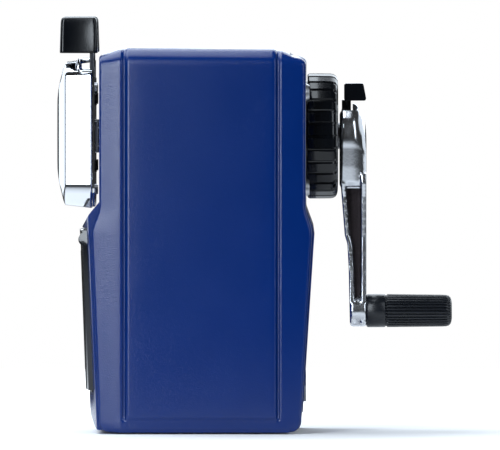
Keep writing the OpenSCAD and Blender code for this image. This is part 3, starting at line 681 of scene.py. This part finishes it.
for face in crank.data.polygons:
    x, y, z = face.center * 1000
    inside = arm_front(z) + 1.3 < y < 48.4 and foot_z + 1.1 < z < web_top
    if inside and abs(x) < 3.2 and abs(face.normal.x) > 0.6:
        face.material_index = 1
settle(crank, "crank", "chrome", "crank_arm")

# ---- Steel and other metal ----
# The fasteners, springs, levers and cutting head keep their CAD shapes. Plated, blackened, ground or cast finishes
# follow how each is made; most of them sit inside the casing.
zinc = finish_of("zinc_plate", (0.52, 0.53, 0.56), (0.8, 0.8, 0.82), rough=(0.25, 0.38), metal=1.0, relief=0.05)
black_steel = finish_of("blackened_steel", (0.03, 0.032, 0.04), (0.3, 0.3, 0.32), rough=(0.3, 0.4), metal=0.8)
spring_steel = finish_of("spring_steel", (0.35, 0.36, 0.39), (0.6, 0.6, 0.62), rough=(0.2, 0.3), metal=1.0)
cast_zinc = finish_of("die_cast_zinc", (0.45, 0.46, 0.49), (0.7, 0.7, 0.72), rough=(0.35, 0.5), metal=1.0, relief=0.3)
tool_steel = finish_of("tool_steel", (0.3, 0.31, 0.34), (0.7, 0.7, 0.72), rough=(0.2, 0.3), metal=1.0, stretch=6.0)
bronze = finish_of("bearing_bronze", (0.55, 0.33, 0.12), (0.8, 0.6, 0.35), rough=(0.35, 0.5), metal=1.0, relief=0.3)
for material, names in (
    (zinc, "base_screws frame_screws clamp_socket spring_anchors back_plate_rivets rail_rivets lever_pivot_pins"),
    (zinc, "ring_gear crank_screw drive_shaft cutter_axle grip_pin point_stop"),
    (black_steel, "left_guide_rail right_guide_rail left_lever right_lever"),
    (spring_steel, "left_feed_spring right_feed_spring jaw_spring left_jaw right_jaw"),
    (tool_steel, "cutter cutter_pinion"),
    (cast_zinc, "cutter_carrier"),
    (bronze, "bearing_bush"),
):
    for name in names.split():
        dress(nodes[name], material)

# ---- Studio ----
# A pale floor in an even white room. A tall narrow softbox near the camera lights the bevelled flank, another
# lights the crank, one hangs above, and wide ones behind fill the silhouettes. None stands in front of the flat side.


def aim(thing, place, target):
    """Puts a light or camera at a place, looking at a target."""
    thing.location = place
    thing.rotation_euler = (Vector(target) - Vector(place)).to_track_quat("-Z", "Y").to_euler()


daylight = (0.84, 0.92, 1.0)


def softbox(name, place, size, power, target=(0.0, 0.0, 0.07)):
    """A rectangular area light that the camera doesn't see."""
    data = bpy.data.lights.new(name, "AREA")
    data.shape = "RECTANGLE"
    data.size, data.size_y = size
    data.energy = power
    data.color = daylight
    lamp = bpy.data.objects.new(name, data)
    lamp.visible_camera = False
    bpy.context.scene.collection.objects.link(lamp)
    aim(lamp, place, target)
    return lamp


middle = (0.0, 0.0143, 0.0631)
distance = 5.5
azimuth, height = math.radians(90.3), math.radians(1.1)
camera_data = bpy.data.cameras.new("camera")
camera_data.sensor_width = 36.0
frame_width = 0.1531
camera_data.lens = 36.0 * distance / frame_width
camera_data.clip_end = 20.0
camera = bpy.data.objects.new("camera", camera_data)
bpy.context.scene.collection.objects.link(camera)
back = Vector((math.sin(azimuth) * math.cos(height), -math.cos(azimuth) * math.cos(height), math.sin(height)))
aim(camera, Vector(middle) + back * distance, middle)
bpy.context.scene.camera = camera
bpy.context.scene.view_settings.view_transform = "Standard"

floor_r = 700
floor = build(
    "studio_floor",
    [(r * math.cos(a), r * math.sin(a), 0) for r in (40, floor_r) for a in np.radians(np.arange(0, 360, 15))],
    [tuple(range(24))] + [(i, i + 24, (i + 1) % 24 + 24, (i + 1) % 24) for i in range(24)],
)
floor_finish = bpy.data.materials.new("studio_white")
floor_finish.use_nodes = True
floor_tree = floor_finish.node_tree
seen = add(floor_tree, "LightPath")
spot = add(floor_tree, "TexCoord")
reach = add(floor_tree, "VectorMath", {0: spot.outputs["Object"]}, operation="LENGTH")
table = add(floor_tree, "MapRange", {0: reach.outputs["Value"], 1: 0.1, 2: 0.3, 3: 0.85, 4: 0.04})
pale = add(floor_tree, "MapRange", {0: seen.outputs["Is Camera Ray"], 3: table.outputs[0], 4: 0.95})
floor_tree.links.new(pale.outputs[0], floor_tree.nodes["Principled BSDF"].inputs["Base Color"])
fade = add(floor_tree, "MapRange", {0: reach.outputs["Value"], 1: 0.08, 2: 0.4, 3: 0.0, 4: 1.0})
glow = add(floor_tree, "Math", {0: fade.outputs[0], 1: seen.outputs["Is Camera Ray"]}, operation="MULTIPLY")
floor_tree.links.new(glow.outputs[0], floor_tree.nodes["Principled BSDF"].inputs["Emission Color"])
floor_tree.nodes["Principled BSDF"].inputs["Emission Strength"].default_value = 1.0
floor_tree.nodes["Principled BSDF"].inputs["Roughness"].default_value = 1.0
floor_tree.nodes["Principled BSDF"].inputs["Specular IOR Level"].default_value = 0.0
dress(floor, floor_finish)
floor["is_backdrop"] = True

softbox("edge_softbox", (0.52, -0.18, 0.27), (0.15, 0.54), 2.2)
softbox("crank_side_softbox", (0.55, 0.55, 0.4), (0.2, 0.8), 1.6)
softbox("top_softbox", (-0.2, -0.42, 0.75), (0.9, 0.9), 10, (-0.2, -0.42, 0.0))
softbox("pencil_side_card", (-0.75, -0.95, 0.2), (1.4, 1.0), 6)
softbox("crank_side_card", (-0.7, 0.95, 0.2), (1.1, 1.0), 3.5)
softbox("far_side_softbox", (-1.3, 0.2, 0.7), (1.4, 1.2), 14)
world = bpy.data.worlds.new("studio")
world.use_nodes = True
sky = world.node_tree
lit = sky.nodes.new("ShaderNodeLightPath")
level = sky.nodes.new("ShaderNodeMapRange")
level.inputs[3].default_value, level.inputs[4].default_value = 0.03, 1.0
sky.links.new(lit.outputs["Is Camera Ray"], level.inputs[0])
sky.links.new(level.outputs[0], sky.nodes["Background"].inputs["Strength"])
sky.nodes["Background"].inputs["Color"].default_value = (1, 1, 1, 1)
bpy.context.scene.world = world

low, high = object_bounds()
